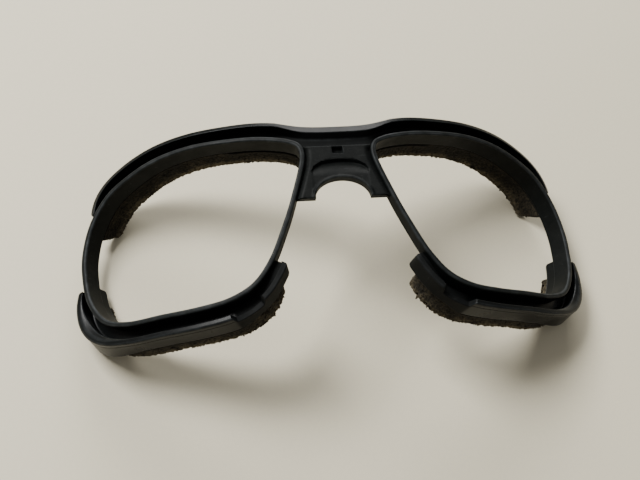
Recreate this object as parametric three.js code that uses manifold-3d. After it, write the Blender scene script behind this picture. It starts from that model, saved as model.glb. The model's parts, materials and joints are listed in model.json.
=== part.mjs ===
// Face-seal insert of a pair of sports protective goggles: two lens rims, a bridge, a brow flange,
// cheek lips with their corner skirts, and four foam strips on adhesive film.
// Millimetres. The part lies on its foam: +X is across the face, +Y towards the brow and +Z out of
// the front. The origin is on the ground under the middle of the part.
// Outlines are drawn in the flat front view and then bent round the wrap of the face.

import * as THREE from "three";
import { mergeVertices } from "three/addons/utils/BufferGeometryUtils.js";
import Module from "manifold-3d";

const wasm = await Module();
wasm.setup();

// Driving dimensions
const FRONT_HEIGHT = 34.8; // height of the front of the bridge above the ground
const RIM_GAP = 18.8; // between the middles of the two rims, at the bridge
const LENS_WIDTH = 57.5; // one lens opening, middle of rim to middle of rim
const LENS_HEIGHT = 46;
const LENS_DROP = 0.9; // middle of the lens opening below the nose line
const WRAP_DEPTH = 27; // how far the temple side of a rim lies behind the bridge
const WRAP_POWER = 1.9;
const GAP = 0.3; // between neighbouring pieces
const MERGE_DISTANCE = 1e-4;
const LINE_STEPS = 110; // steps round a rim
const BRIDGE_STEPS = 12; // steps of the brow flange from the middle to a rim

const RIM_WALL = 1.3;
const RIM_DEPTH = 5.2; // front edge to back edge, square to the wrap
const NOSE_BAR_DEPTH = 3.2;
const NOSE_BAR_ACROSS = [0.2, 0.36]; // where the shallow nose side gives way, across the lens opening
const NOSE_BAR_UP = [0.55, 0.75]; // and up or down from its middle

const FLANGE_WALL = 1.3;
const FLANGE_TIP_WALL = 0.6; // where the flange runs out against the rim
const FLANGE_REACH = 4.6; // middle of the rim to the outside of the brow flange
const FLANGE_SWELL = 0.5; // how much further it stands out beside the bridge
const FLANGE_DEPTH = 4.8;
const FLANGE_BRIDGE_TOP = 0.467 * LENS_HEIGHT; // top of the flange over the nose, above the nose line
const BRIDGE_LEVEL = 0.4; // share of the way from the middle to the rim where the flange stays level
const BRIDGE_BEND = 0.65; // share of the way where it takes up the line of the rim
const BRIDGE_SLOPE = 0.13; // how much it falls from the rim to that point, over its half width
const FLOOR_THICK = 1;

const LIP_WALL = 1.3;
const LIP_REACH = 5.3; // middle of the rim to the outside of the cheek lip
const LIP_TIP_WALL = 1; // where the lip runs out against the rim
const CORNER_FLARE = 2; // how far the back of the lip stands out at the outer corner
const CORNER_SWELL = 0.5; // how far the whole lip stands out there
const LIP_TAB_REACH = 4.2;
const LIP_DEPTH = 6.8;
const LIP_TAB_DEPTH = 5.2;
const LIP_NOTCH_DEPTH = 2.4; // how far the lip is cut down in its notch
const SKIRT_WALL = 1.2;
const SKIRT_DEPTH = 2.4;
const CUT_PAST = 1; // how far a cut runs past the surface it opens

const PLATE_THICK = 1.8;
const PLATE_SET_BACK = 1.2; // plate front behind the rim front
const PLATE_TOP = 0.348 * LENS_HEIGHT;
const PLATE_GROOVE = 0.9; // between the plate and the rims
const ARCH_HALF_WIDTH = 7.1;
const ARCH_TOP = 6.2;
const LEG_BOTTOM = 0.8;
const ARCH_LIP_WIDTH = 0.9;
const ARCH_LIP_RISE = 0.8;
const ARCH_STEPS = 18;
const RECESS_TOP = 11.9;
const RECESS_HALF_WIDTH = 7.3;
const RECESS_DEPTH = 0.8;
const RECESS_SPRING = 1.4; // foot of the upper crescent line above the top of the raised lip
const RECESS_FOOT = 2; // foot of the lower crescent line above the feet of the legs
const SLOT_WIDTH = 2.8;
const SLOT_HEIGHT = 2;
const SLOT_DEPTH = 1.3; // below the front of the plate, which closes the slot behind
const SLOT_MIDDLE = PLATE_TOP - 1.35;

const FILM_THICK = 0.4;
const FOAM_BACK = 11.5; // rim front to the back of the foam, square to the wrap
const FOAM_NOSE_INSET = 1.2; // cheek foam inside the lip, beside the nose
const FILM_INSET = 0.8;

const NOSE_X = RIM_GAP / 2;
const HALF_WIDTH = NOSE_X + LENS_WIDTH;

// Lens opening round the middle of its rim: across from nose 0 to temple 1, up from cheek -1 to brow 1.
const RIM_SHAPE = [
  [0.0, 0.63], [0.014, 0.75], [0.055, 0.815], [0.175, 0.9], [0.32, 0.957], [0.5, 1.0],
  [0.655, 0.974], [0.775, 0.878], [0.88, 0.726], [0.957, 0.456], [0.997, 0.104], [1.0, -0.178],
  [0.974, -0.552], [0.906, -0.83], [0.81, -0.94], [0.655, -0.978], [0.5, -1.0], [0.367, -0.974],
  [0.263, -0.857], [0.185, -0.622], [0.118, -0.274], [0.063, 0.074],
];

// Stations round a rim, as shares of its length from the top of the nose side.
const FLOOR_CORNER = 0.024; // where the flange floor meets the rim beside the bridge
const FLANGE_START = 0.06;
const FLANGE_END = 0.358;
const FLANGE_SWELL_END = 0.18;
const FLANGE_RUN_OUT = 0.1; // stretch over which the flange closes on the rim
const LIP_START = 0.48; // temple end
const CORNER_MIDDLE = 0.545;
const LIP_FLAT = 0.6;
const LIP_RISE_POWER = 3; // how fast the lip leaves the rim at its temple end
const NOTCH_START = 0.735;
const NOTCH_END = 0.772;
const LIP_END = 0.826; // nose end
const SKIRT_START = 0.47;
const SKIRT_END = 0.56;
const SKIRT_CLEAR = 0.02; // foam keeps off the skirt for this much more of the rim
const BROW_FOAM = [0.012, 0.378];
const CHEEK_FOAM = [0.49, 0.808];

const plasticLook = { color: 0x1b1d1e, roughness: 0.42, metalness: 0 };
const glossLook = { color: 0x17191a, roughness: 0.26, metalness: 0 };
const foamLook = { color: 0x3b3226, roughness: 0.97, metalness: 0 };
const filmLook = { color: 0x55524a, roughness: 0.6, metalness: 0 };

function smooth(from, to, value) {
  return THREE.MathUtils.smoothstep(value, from, to);
}

// Middle line of one rim, in the flat front view. It runs over the brow, down the temple side,
// back along the cheek and up the nose side.
const rimCurve = new THREE.CatmullRomCurve3(
  RIM_SHAPE.map(([across, up]) => new THREE.Vector3(
    NOSE_X + across * LENS_WIDTH,
    up * LENS_HEIGHT / 2 - LENS_DROP,
    0,
  )),
  true,
);
rimCurve.arcLengthDivisions = 4 * LINE_STEPS;

// Point of the rim line at a share of its length, moved outwards.
function rimPoint(share, reach) {
  const at = rimCurve.getPointAt(share % 1);
  const along = rimCurve.getTangentAt(share % 1);
  return new THREE.Vector2(at.x - along.y * reach, at.y + along.x * reach);
}

// Values of a function of the share, at even stations between two shares.
function valuesAt(from, to, value) {
  const steps = Math.ceil((to - from) * LINE_STEPS);
  return Array.from({ length: steps + 1 }, (_, i) => value(from + (to - from) * i / steps));
}

// Part of the rim line between two shares, moved outwards. The reach is a function of the share.
function lineAt(from, to, reach) {
  return valuesAt(from, to, (share) => rimPoint(share, reach(share)));
}

function toManifold(geometry) {
  const bare = geometry.clone();
  bare.deleteAttribute("normal");
  bare.deleteAttribute("uv");
  const merged = mergeVertices(bare, MERGE_DISTANCE);
  return new wasm.Manifold(new wasm.Mesh({
    numProp: 3,
    vertProperties: new Float32Array(merged.attributes.position.array),
    triVerts: new Uint32Array(merged.index.array),
  }));
}

// Place of a point of the flat front view, at a depth square to the wrapped front.
function bent(point, depth) {
  const reach = Math.abs(point.x) / HALF_WIDTH;
  const slope = WRAP_DEPTH * WRAP_POWER / HALF_WIDTH * reach ** (WRAP_POWER - 1);
  const lean = Math.atan(slope);
  return new THREE.Vector3(
    point.x - Math.sign(point.x) * depth * Math.sin(lean),
    point.y,
    FRONT_HEIGHT - WRAP_DEPTH * reach ** WRAP_POWER - depth * Math.cos(lean),
  );
}

// Moves every corner of a closed shape, and turns its faces over where the shape is mirrored.
function reshaped(geometry, place, side) {
  const corners = geometry.attributes.position;
  for (let i = 0; i < corners.count; i += 1) {
    const moved = place(new THREE.Vector3().fromBufferAttribute(corners, i));
    corners.setXYZ(i, side * moved.x, moved.y, moved.z);
  }
  if (side < 0) {
    geometry.index.array.reverse();
  }
  return toManifold(geometry);
}

// Wall or floor that runs along two lines of the flat front view, between two depths.
// It can end on two other lines at its back. A depth is a number, or one number for each station.
function strip(side, inner, outer, front, back, innerBack = inner, outerBack = outer) {
  const last = inner.length - 1;
  const depthAt = (depth, step) => (Array.isArray(depth) ? depth[step] : depth);
  return reshaped(new THREE.BoxGeometry(1, 1, 1, last, 1, 1), (corner) => {
    const step = Math.round((corner.x + 0.5) * last);
    if (corner.z > 0) {
      return bent(corner.y > 0 ? outer[step] : inner[step], depthAt(front, step));
    }
    return bent(corner.y > 0 ? outerBack[step] : innerBack[step], depthAt(back, step));
  }, side);
}

// Closed wall all the way round a rim. It is turned as a plain ring of radius 1 to 2, then reshaped.
function ring(side, inner, outer, front, back) {
  const section = [[1, -1], [1, 1], [2, 1], [2, -1], [1, -1]].map(([x, y]) => new THREE.Vector2(x, y));
  const middleRadius = 1.5;
  return reshaped(new THREE.LatheGeometry(section, LINE_STEPS), (corner) => {
    const turn = Math.atan2(corner.x, corner.z) / (2 * Math.PI);
    const step = Math.round((turn + 1) * LINE_STEPS) % LINE_STEPS;
    const isOuter = Math.hypot(corner.x, corner.z) > middleRadius;
    const point = isOuter ? outer[step] : inner[step];
    return bent(point, corner.y > 0 ? front : back(inner[step]));
  }, side);
}

// Cuts off what would be under the ground, as the load presses the foam flat.
function pressFlat(solid) {
  const ground = new THREE.BoxGeometry(4 * HALF_WIDTH, 4 * LENS_HEIGHT, FRONT_HEIGHT);
  ground.translate(0, 0, -FRONT_HEIGHT / 2);
  return solid.subtract(toManifold(ground));
}

const part = new THREE.Group();

function addPiece(name, solid, look) {
  const mesh = solid.getMesh();
  const geometry = new THREE.BufferGeometry();
  geometry.setAttribute("position", new THREE.BufferAttribute(new Float32Array(mesh.vertProperties), 3));
  geometry.setIndex(new THREE.BufferAttribute(new Uint32Array(mesh.triVerts), 1));
  const piece = new THREE.Mesh(geometry, new THREE.MeshStandardMaterial(look));
  piece.name = name;
  part.add(piece);
}

// Rims: thin closed walls, shallower along the nose side.
function rimDepth(point) {
  const across = (point.x - NOSE_X) / LENS_WIDTH;
  const up = Math.abs(point.y + LENS_DROP) / (LENS_HEIGHT / 2);
  const noseBar = (1 - smooth(...NOSE_BAR_ACROSS, across)) * (1 - smooth(...NOSE_BAR_UP, up));
  return RIM_DEPTH - noseBar * (RIM_DEPTH - NOSE_BAR_DEPTH);
}

function makeRim(side) {
  const outer = lineAt(0, 1, () => RIM_WALL / 2);
  const inner = lineAt(0, 1, () => -RIM_WALL / 2);
  return ring(side, inner, outer, 0, rimDepth);
}

function rimClear() {
  return RIM_WALL / 2 + GAP;
}

// Brow flange: an outer wall over both eyes and the bridge, with the floor of its channel.
function flangeReach(share) {
  const tip = rimClear() + FLANGE_TIP_WALL;
  const runOut = Math.max(0, 1 - (FLANGE_END - share) / FLANGE_RUN_OUT);
  const swell = FLANGE_SWELL * (1 - smooth(FLANGE_START, FLANGE_SWELL_END, share));
  return FLANGE_REACH + swell - (FLANGE_REACH - tip) * Math.min(runOut, 1) ** 3;
}

function outerWallInside(reach, wall) {
  return (share) => Math.max(reach(share) - wall, rimClear());
}

function mirrored(points) {
  return points.map((point) => new THREE.Vector2(-point.x, point.y));
}

function bothSides(line) {
  return mirrored(line.slice(1)).reverse().concat(line);
}

function flangeLine(inset) {
  const sideLine = lineAt(FLANGE_START, FLANGE_END, outerWallInside(flangeReach, inset));
  const first = sideLine[0];
  const top = FLANGE_BRIDGE_TOP - inset;
  const bridgeLine = new THREE.CubicBezierCurve(
    new THREE.Vector2(0, top),
    new THREE.Vector2(BRIDGE_LEVEL * first.x, top),
    new THREE.Vector2(BRIDGE_BEND * first.x, first.y - BRIDGE_SLOPE * first.x),
    first,
  );
  return bothSides(bridgeLine.getPoints(BRIDGE_STEPS).slice(0, -1).concat(sideLine));
}

function flangeFloorLine() {
  const corner = lineAt(FLOOR_CORNER, FLANGE_START, rimClear).slice(0, -1);
  const plateSteps = BRIDGE_STEPS - corner.length;
  const plateSide = Array.from({ length: plateSteps }, (_, i) => new THREE.Vector2(
    corner[0].x * i / plateSteps,
    PLATE_TOP + GAP,
  ));
  return bothSides(plateSide.concat(corner, lineAt(FLANGE_START, FLANGE_END, rimClear)));
}

function makeBrowFlange() {
  const wall = strip(1, flangeLine(FLANGE_WALL), flangeLine(0), 0, FLANGE_DEPTH);
  const floorFront = FLANGE_DEPTH - FLOOR_THICK;
  const floor = strip(1, flangeFloorLine(), flangeLine(FLANGE_WALL / 2), floorFront, FLANGE_DEPTH);
  return wall.add(floor);
}

// Cheek lip: outer wall of the lower channel from the temple corner to the tab beside the nose,
// cut down in a notch near the nose, with the floor of the channel.
function lipReach(share) {
  const tip = rimClear() + LIP_TIP_WALL;
  const rise = 1 - Math.max(0, (LIP_FLAT - share) / (LIP_FLAT - LIP_START)) ** LIP_RISE_POWER;
  const drop = (LIP_REACH - LIP_TAB_REACH) * smooth(NOTCH_START, LIP_END, share);
  return tip + (LIP_REACH - tip) * rise - drop + CORNER_SWELL * cornerBulge(share);
}

function cornerBulge(share) {
  return smooth(LIP_START, CORNER_MIDDLE, share) * (1 - smooth(CORNER_MIDDLE, LIP_FLAT, share));
}

function lipBackReach(share) {
  return lipReach(share) + CORNER_FLARE * cornerBulge(share);
}

function lipDepth(share) {
  return LIP_DEPTH - (LIP_DEPTH - LIP_TAB_DEPTH) * smooth(NOTCH_START, NOTCH_END, share);
}

function makeCheekLip(side) {
  const wall = strip(
    side,
    lineAt(LIP_START, LIP_END, outerWallInside(lipReach, LIP_WALL)),
    lineAt(LIP_START, LIP_END, lipReach),
    0,
    valuesAt(LIP_START, LIP_END, lipDepth),
    lineAt(LIP_START, LIP_END, outerWallInside(lipBackReach, LIP_WALL)),
    lineAt(LIP_START, LIP_END, lipBackReach),
  );
  const leastFloor = rimClear() + LIP_TIP_WALL / 2;
  const floor = strip(
    side,
    lineAt(LIP_START, LIP_END, rimClear),
    lineAt(LIP_START, LIP_END, (share) => Math.max(lipReach(share) - LIP_WALL / 2, leastFloor)),
    RIM_DEPTH - FLOOR_THICK,
    RIM_DEPTH,
  );
  const notch = strip(
    side,
    lineAt(NOTCH_START, NOTCH_END, rimClear),
    lineAt(NOTCH_START, NOTCH_END, () => LIP_REACH + CUT_PAST),
    -CUT_PAST,
    LIP_NOTCH_DEPTH,
  );
  return wall.add(floor).subtract(notch);
}

// Corner skirt: a wall behind the rim that closes the outer corner against the face.
function makeCornerSkirt(side) {
  const inner = lineAt(SKIRT_START, SKIRT_END, () => -RIM_WALL / 2);
  const outer = lineAt(SKIRT_START, SKIRT_END, () => SKIRT_WALL - RIM_WALL / 2);
  return strip(side, inner, outer, RIM_DEPTH + GAP, RIM_DEPTH + GAP + SKIRT_DEPTH);
}

// Bridge plate: flat, with a blind slot, a sunk crescent and a raised lip along the nose arch.
// Flat solid from an outline, between two depths behind the front of the bridge.
function slab(outline, front, back) {
  const depth = back - front;
  const geometry = new THREE.ExtrudeGeometry(new THREE.Shape(outline), { depth, bevelEnabled: false });
  geometry.translate(0, 0, FRONT_HEIGHT - back);
  return toManifold(geometry);
}

function archOutline(halfWidth, top, bottom) {
  const points = [];
  for (let i = 0; i <= ARCH_STEPS; i += 1) {
    const turn = Math.PI * i / ARCH_STEPS;
    points.push(new THREE.Vector2(
      halfWidth * Math.cos(turn),
      bottom + (top - bottom) * Math.sin(turn),
    ));
  }
  return points;
}

function makeBridgePlate() {
  const edge = lineAt(LIP_END, 1, () => RIM_WALL / 2 + PLATE_GROOVE)
    .filter((point) => point.y > LEG_BOTTOM && point.y < PLATE_TOP);
  const foot = new THREE.Vector2(edge[0].x, LEG_BOTTOM);
  const head = new THREE.Vector2(edge[edge.length - 1].x, PLATE_TOP);
  const rightEdge = [foot].concat(edge, [head]);
  const leftEdge = mirrored(rightEdge).reverse();
  const arch = archOutline(ARCH_HALF_WIDTH, ARCH_TOP, LEG_BOTTOM);
  const front = PLATE_SET_BACK;
  const back = PLATE_SET_BACK + PLATE_THICK;
  const plate = slab(rightEdge.concat(leftEdge, arch.slice().reverse()), front, back);
  const slot = slab(
    [[-1, -1], [1, -1], [1, 1], [-1, 1]].map(([across, up]) => new THREE.Vector2(
      across * SLOT_WIDTH / 2,
      SLOT_MIDDLE + up * SLOT_HEIGHT / 2,
    )),
    front - CUT_PAST,
    front + SLOT_DEPTH,
  );
  const lipTop = ARCH_TOP + ARCH_LIP_WIDTH;
  const lipArch = archOutline(ARCH_HALF_WIDTH + ARCH_LIP_WIDTH, lipTop, LEG_BOTTOM);
  const sunk = slab(
    archOutline(RECESS_HALF_WIDTH, RECESS_TOP, lipTop + RECESS_SPRING).concat(
      archOutline(RECESS_HALF_WIDTH, lipTop, LEG_BOTTOM + RECESS_FOOT).reverse(),
    ),
    front - CUT_PAST,
    front + RECESS_DEPTH,
  );
  const lip = slab(lipArch.concat(arch.slice().reverse()), front - ARCH_LIP_RISE, back);
  return plate.subtract(slot).subtract(sunk).add(lip);
}

// Foam strips and the adhesive film under them. The plastic's back is a function of the share.
function addStrip(name, side, [from, to], inner, outer, plasticBack) {
  const behindPlastic = (depth) => valuesAt(from, to, (share) => plasticBack(share) + depth);
  const film = strip(
    side,
    lineAt(from, to, (share) => inner(share) + FILM_INSET),
    lineAt(from, to, (share) => outer(share) - FILM_INSET),
    behindPlastic(GAP),
    behindPlastic(GAP + FILM_THICK),
  );
  addPiece(`film_${name}`, film, filmLook);
  const foam = strip(
    side,
    lineAt(from, to, inner),
    lineAt(from, to, outer),
    behindPlastic(GAP + FILM_THICK + GAP),
    FOAM_BACK,
  );
  addPiece(`foam_${name}`, pressFlat(foam), foamLook);
}

function flushWithRim() {
  return -RIM_WALL / 2;
}

function behindSkirt(share) {
  return share < SKIRT_END + SKIRT_CLEAR ? SKIRT_WALL + GAP - RIM_WALL / 2 : -RIM_WALL / 2;
}

function cheekFoamReach(share) {
  return lipReach(share) - FOAM_NOSE_INSET * smooth(NOTCH_START, CHEEK_FOAM[1], share);
}

for (const [label, side] of [["right", 1], ["left", -1]]) {
  addPiece(`rim_${label}`, makeRim(side), plasticLook);
  addPiece(`cheek_lip_${label}`, makeCheekLip(side), glossLook);
  addPiece(`corner_skirt_${label}`, makeCornerSkirt(side), plasticLook);
  addStrip(`brow_${label}`, side, BROW_FOAM, flushWithRim, flangeReach, () => RIM_DEPTH);
  addStrip(`cheek_${label}`, side, CHEEK_FOAM, behindSkirt, cheekFoamReach, lipDepth);
}
addPiece("brow_flange", makeBrowFlange(), glossLook);
addPiece("bridge_plate", makeBridgePlate(), plasticLook);

// The origin is under the middle of the part.
part.position.y = -new THREE.Box3().setFromObject(part).getCenter(new THREE.Vector3()).y;

export default part;
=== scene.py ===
import json
import math

import bmesh
import bpy
import numpy as np
from bpy.props import FloatProperty, FloatVectorProperty, IntProperty, PointerProperty
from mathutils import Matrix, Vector, geometry, noise

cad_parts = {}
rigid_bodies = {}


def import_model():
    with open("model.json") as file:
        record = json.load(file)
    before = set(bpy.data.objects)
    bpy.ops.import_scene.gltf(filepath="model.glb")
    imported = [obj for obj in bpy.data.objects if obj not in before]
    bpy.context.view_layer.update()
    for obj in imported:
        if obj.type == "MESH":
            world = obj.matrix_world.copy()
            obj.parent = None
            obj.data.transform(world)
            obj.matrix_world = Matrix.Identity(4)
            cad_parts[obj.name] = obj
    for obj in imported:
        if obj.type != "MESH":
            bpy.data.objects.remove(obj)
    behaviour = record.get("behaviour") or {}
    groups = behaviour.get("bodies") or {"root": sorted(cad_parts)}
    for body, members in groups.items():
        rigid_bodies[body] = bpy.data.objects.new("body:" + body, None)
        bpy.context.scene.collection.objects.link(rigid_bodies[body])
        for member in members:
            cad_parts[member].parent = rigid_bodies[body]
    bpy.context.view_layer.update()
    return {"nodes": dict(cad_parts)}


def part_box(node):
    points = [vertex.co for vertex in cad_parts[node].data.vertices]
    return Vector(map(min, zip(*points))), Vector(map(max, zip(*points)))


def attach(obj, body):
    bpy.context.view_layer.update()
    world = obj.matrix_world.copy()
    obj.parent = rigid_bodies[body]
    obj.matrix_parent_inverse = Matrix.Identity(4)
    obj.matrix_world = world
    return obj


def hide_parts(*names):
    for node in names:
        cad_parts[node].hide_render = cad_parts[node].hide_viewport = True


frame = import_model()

bl_info = {
    "name": "Goggle face-seal insert",
    "version": (1, 0, 0),
    "blender": (4, 5, 0),
    "location": "3D View > Sidebar > Goggle insert",
    "description": "Makes the wrapped twin-rim insert of a pair of sports goggles, with its foam seal",
    "category": "Object",
}

BODY = "root"
SIDES = (("right", 1), ("left", -1))

# Lens opening round the middle of its rim: across from nose 0 to temple 1, up from cheek -1 to brow 1.
RIM_SHAPE = (
    (0.0, 0.63), (0.014, 0.75), (0.055, 0.815), (0.175, 0.9), (0.32, 0.957), (0.5, 1.0),
    (0.655, 0.974), (0.775, 0.878), (0.88, 0.726), (0.957, 0.456), (0.997, 0.104), (1.0, -0.178),
    (0.974, -0.552), (0.906, -0.83), (0.81, -0.94), (0.655, -0.978), (0.5, -1.0), (0.367, -0.974),
    (0.263, -0.857), (0.185, -0.622), (0.118, -0.274), (0.063, 0.074),
)

# Stations round a rim, as shares of its length from the top of the nose side.
FLOOR_CORNER = 0.024
FLANGE_START, FLANGE_END, FLANGE_RUN_OUT, SWELL_END = 0.06, 0.358, 0.1, 0.18
LIP_START, LIP_FLAT, LIP_END, CORNER_MIDDLE = 0.48, 0.6, 0.826, 0.545
NOTCH_START, NOTCH_END = 0.735, 0.772
SKIRT_START, SKIRT_END = 0.47, 0.56
BROW_FOAM, CHEEK_FOAM = (0.012, 0.378), (0.49, 0.808)
SLIT_END, SLIT_RUN_OUT = 0.14, 0.02
SKIRT_CLEAR = (0.008, 0.02)  # stretch behind a skirt over which the cheek foam widens again

LIP_RISE_POWER = 3
FLANGE_TIP_WALL, LIP_TIP_WALL = 0.0006, 0.001  # where the flange and a lip run out against the rim
NOSE_BAR_ACROSS, NOSE_BAR_UP = (0.2, 0.36), (0.55, 0.75)  # where the shallow nose side of a rim gives way
BRIDGE_LEVEL, BRIDGE_BEND, BRIDGE_SLOPE = 0.4, 0.65, 0.13  # the flange over the nose, in its half width
TOUCH = 0.0001  # how far a floor reaches into the rim
BEHIND_RIM = 0.0002  # the least a lip reaches behind the rim
FULL_TURN = 6.283
FOAM_FINISH = "Worn open-cell foam"
PER_SQUARE_MM = 1e6


def length(name, default, description):
    return FloatProperty(name=name, default=default, min=0, description=description,
                         subtype="DISTANCE", unit="LENGTH", precision=5)


def colour(name, default, description):
    return FloatVectorProperty(name=name, default=default, min=0, max=1, size=3,
                               description=description, subtype="COLOR")


class GogglesFrameSizes(bpy.types.PropertyGroup):
    """Sizes of the moulded frame, in the flat front view and square to it."""
    front_height: length("Front height", 0.0348, "Front of the bridge above the ground")
    wrap_depth: length("Wrap depth", 0.027, "How far the temple side lies behind the bridge")
    wrap_power: FloatProperty(name="Wrap power", default=1.9, min=1,
                              description="How late the front curves back: 2 is a parabola")
    rim_gap: length("Rim gap", 0.0188, "Between the two rims at the bridge")
    lens_width: length("Lens width", 0.0575, "One opening, middle of rim to middle of rim")
    lens_height: length("Lens height", 0.046, "One opening, middle of rim to middle of rim")
    lens_drop: length("Lens drop", 0.0009, "Middle of the opening below the nose line")
    rim_wall: length("Rim wall", 0.0013, "Thickness of a rim")
    rim_depth: length("Rim depth", 0.0052, "Front edge to back edge of a rim")
    nose_bar_depth: length("Nose bar depth", 0.0032, "Depth of a rim beside the nose")
    flange_wall: length("Flange wall", 0.0013, "Thickness of the brow flange")
    flange_reach: length("Flange reach", 0.0046, "Rim to the outside of the brow flange")
    flange_swell: length("Flange swell", 0.0005, "How much further the flange stands out beside the bridge")
    flange_depth: length("Flange depth", 0.0048, "Front edge to floor of the brow flange")
    flange_crown: length("Flange crown", 0.00032, "How far the front of the flange slopes back outwards")
    nose_shelf: length("Nose shelf", 0.0009, "How much wider the front of the flange is over the nose")
    nose_slope: length("Nose slope", 0.0011, "How far the inside of the flange slopes inwards over the nose")
    nose_foot: length("Nose foot", 0.0019, "Depth of the foot of that slope")
    flange_bridge_top: length("Flange top", 0.021482, "Top of the flange over the nose")
    lip_wall: length("Lip wall", 0.0013, "Thickness of a cheek lip")
    lip_reach: length("Lip reach", 0.0053, "Rim to the outside of a cheek lip")
    lip_tab_reach: length("Tab reach", 0.0042, "Rim to the outside of the tab beside the nose")
    lip_depth: length("Lip depth", 0.0068, "Front edge to back edge of a cheek lip")
    lip_tab_depth: length("Tab depth", 0.0052, "Front edge to back edge of the tab beside the nose")
    lip_notch: length("Notch depth", 0.0024, "How far a lip is cut down in its notch")
    corner_flare: length("Corner flare", 0.002, "How far the back of the outer corner stands out further")
    corner_swell: length("Corner swell", 0.0005, "How far the whole outer corner stands out")
    corner_slope: length("Corner slope", 0.0017, "How far the inside of a lip slopes inwards at the corner")
    shoulder: length("Shoulder", 0.0013, "Width of the shoulder inside a lip at the corner")
    shoulder_drop: length("Shoulder drop", 0.00065, "Height of that shoulder")
    skirt_wall: length("Skirt wall", 0.0012, "Thickness of a corner skirt")
    skirt_depth: length("Skirt depth", 0.0024, "Depth of a corner skirt behind the rim")
    floor_thick: length("Floor", 0.001, "Thickness of the channel floors")
    gap: length("Gap", 0.0003, "Between neighbouring pieces of the frame")


class GogglesBridgeSizes(bpy.types.PropertyGroup):
    """Sizes of the bridge plate between the rims."""
    thick: length("Thickness", 0.0018, "Thickness of the plate")
    set_back: length("Set back", 0.0012, "Plate front behind the rim front")
    top: length("Top", 0.016008, "Top edge of the plate above the nose line")
    foot: length("Foot", 0.0008, "Feet of the legs above the nose line")
    arch_half_width: length("Arch half width", 0.0071, "Half the width of the nose arch")
    arch_top: length("Arch top", 0.0062, "Top of the nose arch")
    lip_width: length("Arch lip width", 0.0009, "Width of the raised lip round the arch")
    lip_rise: length("Arch lip rise", 0.0008, "Height of the raised lip")
    recess_top: length("Crescent top", 0.0119, "Top of the sunk crescent")
    recess_half_width: length("Crescent half width", 0.0073, "Half the width of the crescent")
    recess_spring: length("Crescent foot", 0.0014, "Ends of the crescent above the raised lip")
    recess_depth: length("Crescent depth", 0.0011, "Depth of the crescent under its step")
    groove: length("Groove width", 0.0011, "Between the plate and the rims")
    groove_depth: length("Groove depth", 0.0011, "Depth of the grooves beside the rims")
    slot_width: length("Slot width", 0.0028, "Width of the clip slot")
    slot_height: length("Slot height", 0.002, "Height of the clip slot")
    slot_depth: length("Slot depth", 0.0013, "Floor of the slot behind the front of the plate")
    slot_drop: length("Slot drop", 0.00135, "Middle of the slot below the top of the plate")


class GogglesFoamSizes(bpy.types.PropertyGroup):
    """Shape of the worn foam strips."""
    back: length("Back", 0.0115, "Front of the rim to the back of the foam")
    nose_inset: length("Nose inset", 0.0012, "Cheek foam inside the lip, beside the nose")
    slit: length("Slit", 0.0007, "Gap left between the rim and the brow foam beside the nose")
    slant: length("Slant", 0.0034, "How much further the front of the brow foam runs at the temple")
    nub: length("Nub", 0.0011, "How much further the back of the cheek foam stands out beside the nose")
    film_thick: length("Film", 0.0004, "Thickness of the adhesive film")
    film_inset: length("Film inset", 0.0008, "Edge of the film inside the edge of the foam")
    pitch: length("Mesh pitch", 0.00022, "Distance between corners of the foam's mesh")
    sag: length("Waviness", 0.00022, "Slow waviness of the worn faces")
    cells: length("Cell depth", 0.0002, "Depth of the open cells")
    cell_size: length("Cell size", 0.0007, "Width of an open cell")
    rag: length("Raggedness", 0.0009, "How far the crumbled edges wander")
    crumbs: FloatProperty(name="Crumbs", default=1.7, min=0,
                          description="Torn crumbs on each square millimetre")
    crumb_small: length("Smallest crumb", 0.00006, "Half width of the smallest crumb")
    crumb_large: length("Largest crumb", 0.00034, "Half width of the largest crumb")
    seed: IntProperty(name="Seed", default=7, description="Seed of the crumbs and of the torn faces")


class GogglesFinish(bpy.types.PropertyGroup):
    """Colours of the finishes."""
    plastic: colour("Plastic", (0.0026, 0.0034, 0.0032), "Charcoal plastic of the rims and bridge")
    gloss: colour("Satin plastic", (0.0024, 0.003, 0.003), "Plastic of the flange and lips")
    # The worn colour is also a painted highlight along the marked edges.
    worn: colour("Worn plastic", (0.045, 0.05, 0.052), "Plastic where handling has polished it")
    dust: colour("Dust", (0.19, 0.19, 0.175), "Fine dust in the corners")
    # The deep foam colour also paints shade inside the cells and in sunk spots.
    foam_dark: colour("Foam, deep", (0.0045, 0.004, 0.0026), "Foam inside its cells")
    foam_light: colour("Foam, dry", (0.098, 0.08, 0.05), "Foam on its dry crumbled faces")
    film: colour("Film", (0.05, 0.047, 0.04), "Adhesive film")
    table: colour("Table", (0.7, 0.64, 0.48), "Table top")


class GogglesStage(bpy.types.PropertyGroup):
    """Table, lights and camera."""
    key: FloatProperty(name="Window light", default=15, min=0, description="Power of the soft window light",
                       unit="POWER")
    side: FloatProperty(name="Side light", default=15, min=0, description="Power of the soft side light",
                        unit="POWER")
    fill: FloatProperty(name="Room light", default=0.27, min=0,
                        description="Strength of the room's own light")
    lens: FloatProperty(name="Lens", default=56.25, min=1, description="Focal length in millimetres",
                        subtype="DISTANCE_CAMERA", unit="CAMERA")


# Arithmetic of the shapes

def smooth(low, high, value):
    t = np.clip((value - low) / (high - low), 0, 1)
    return t * t * (3 - 2 * t)


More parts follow.
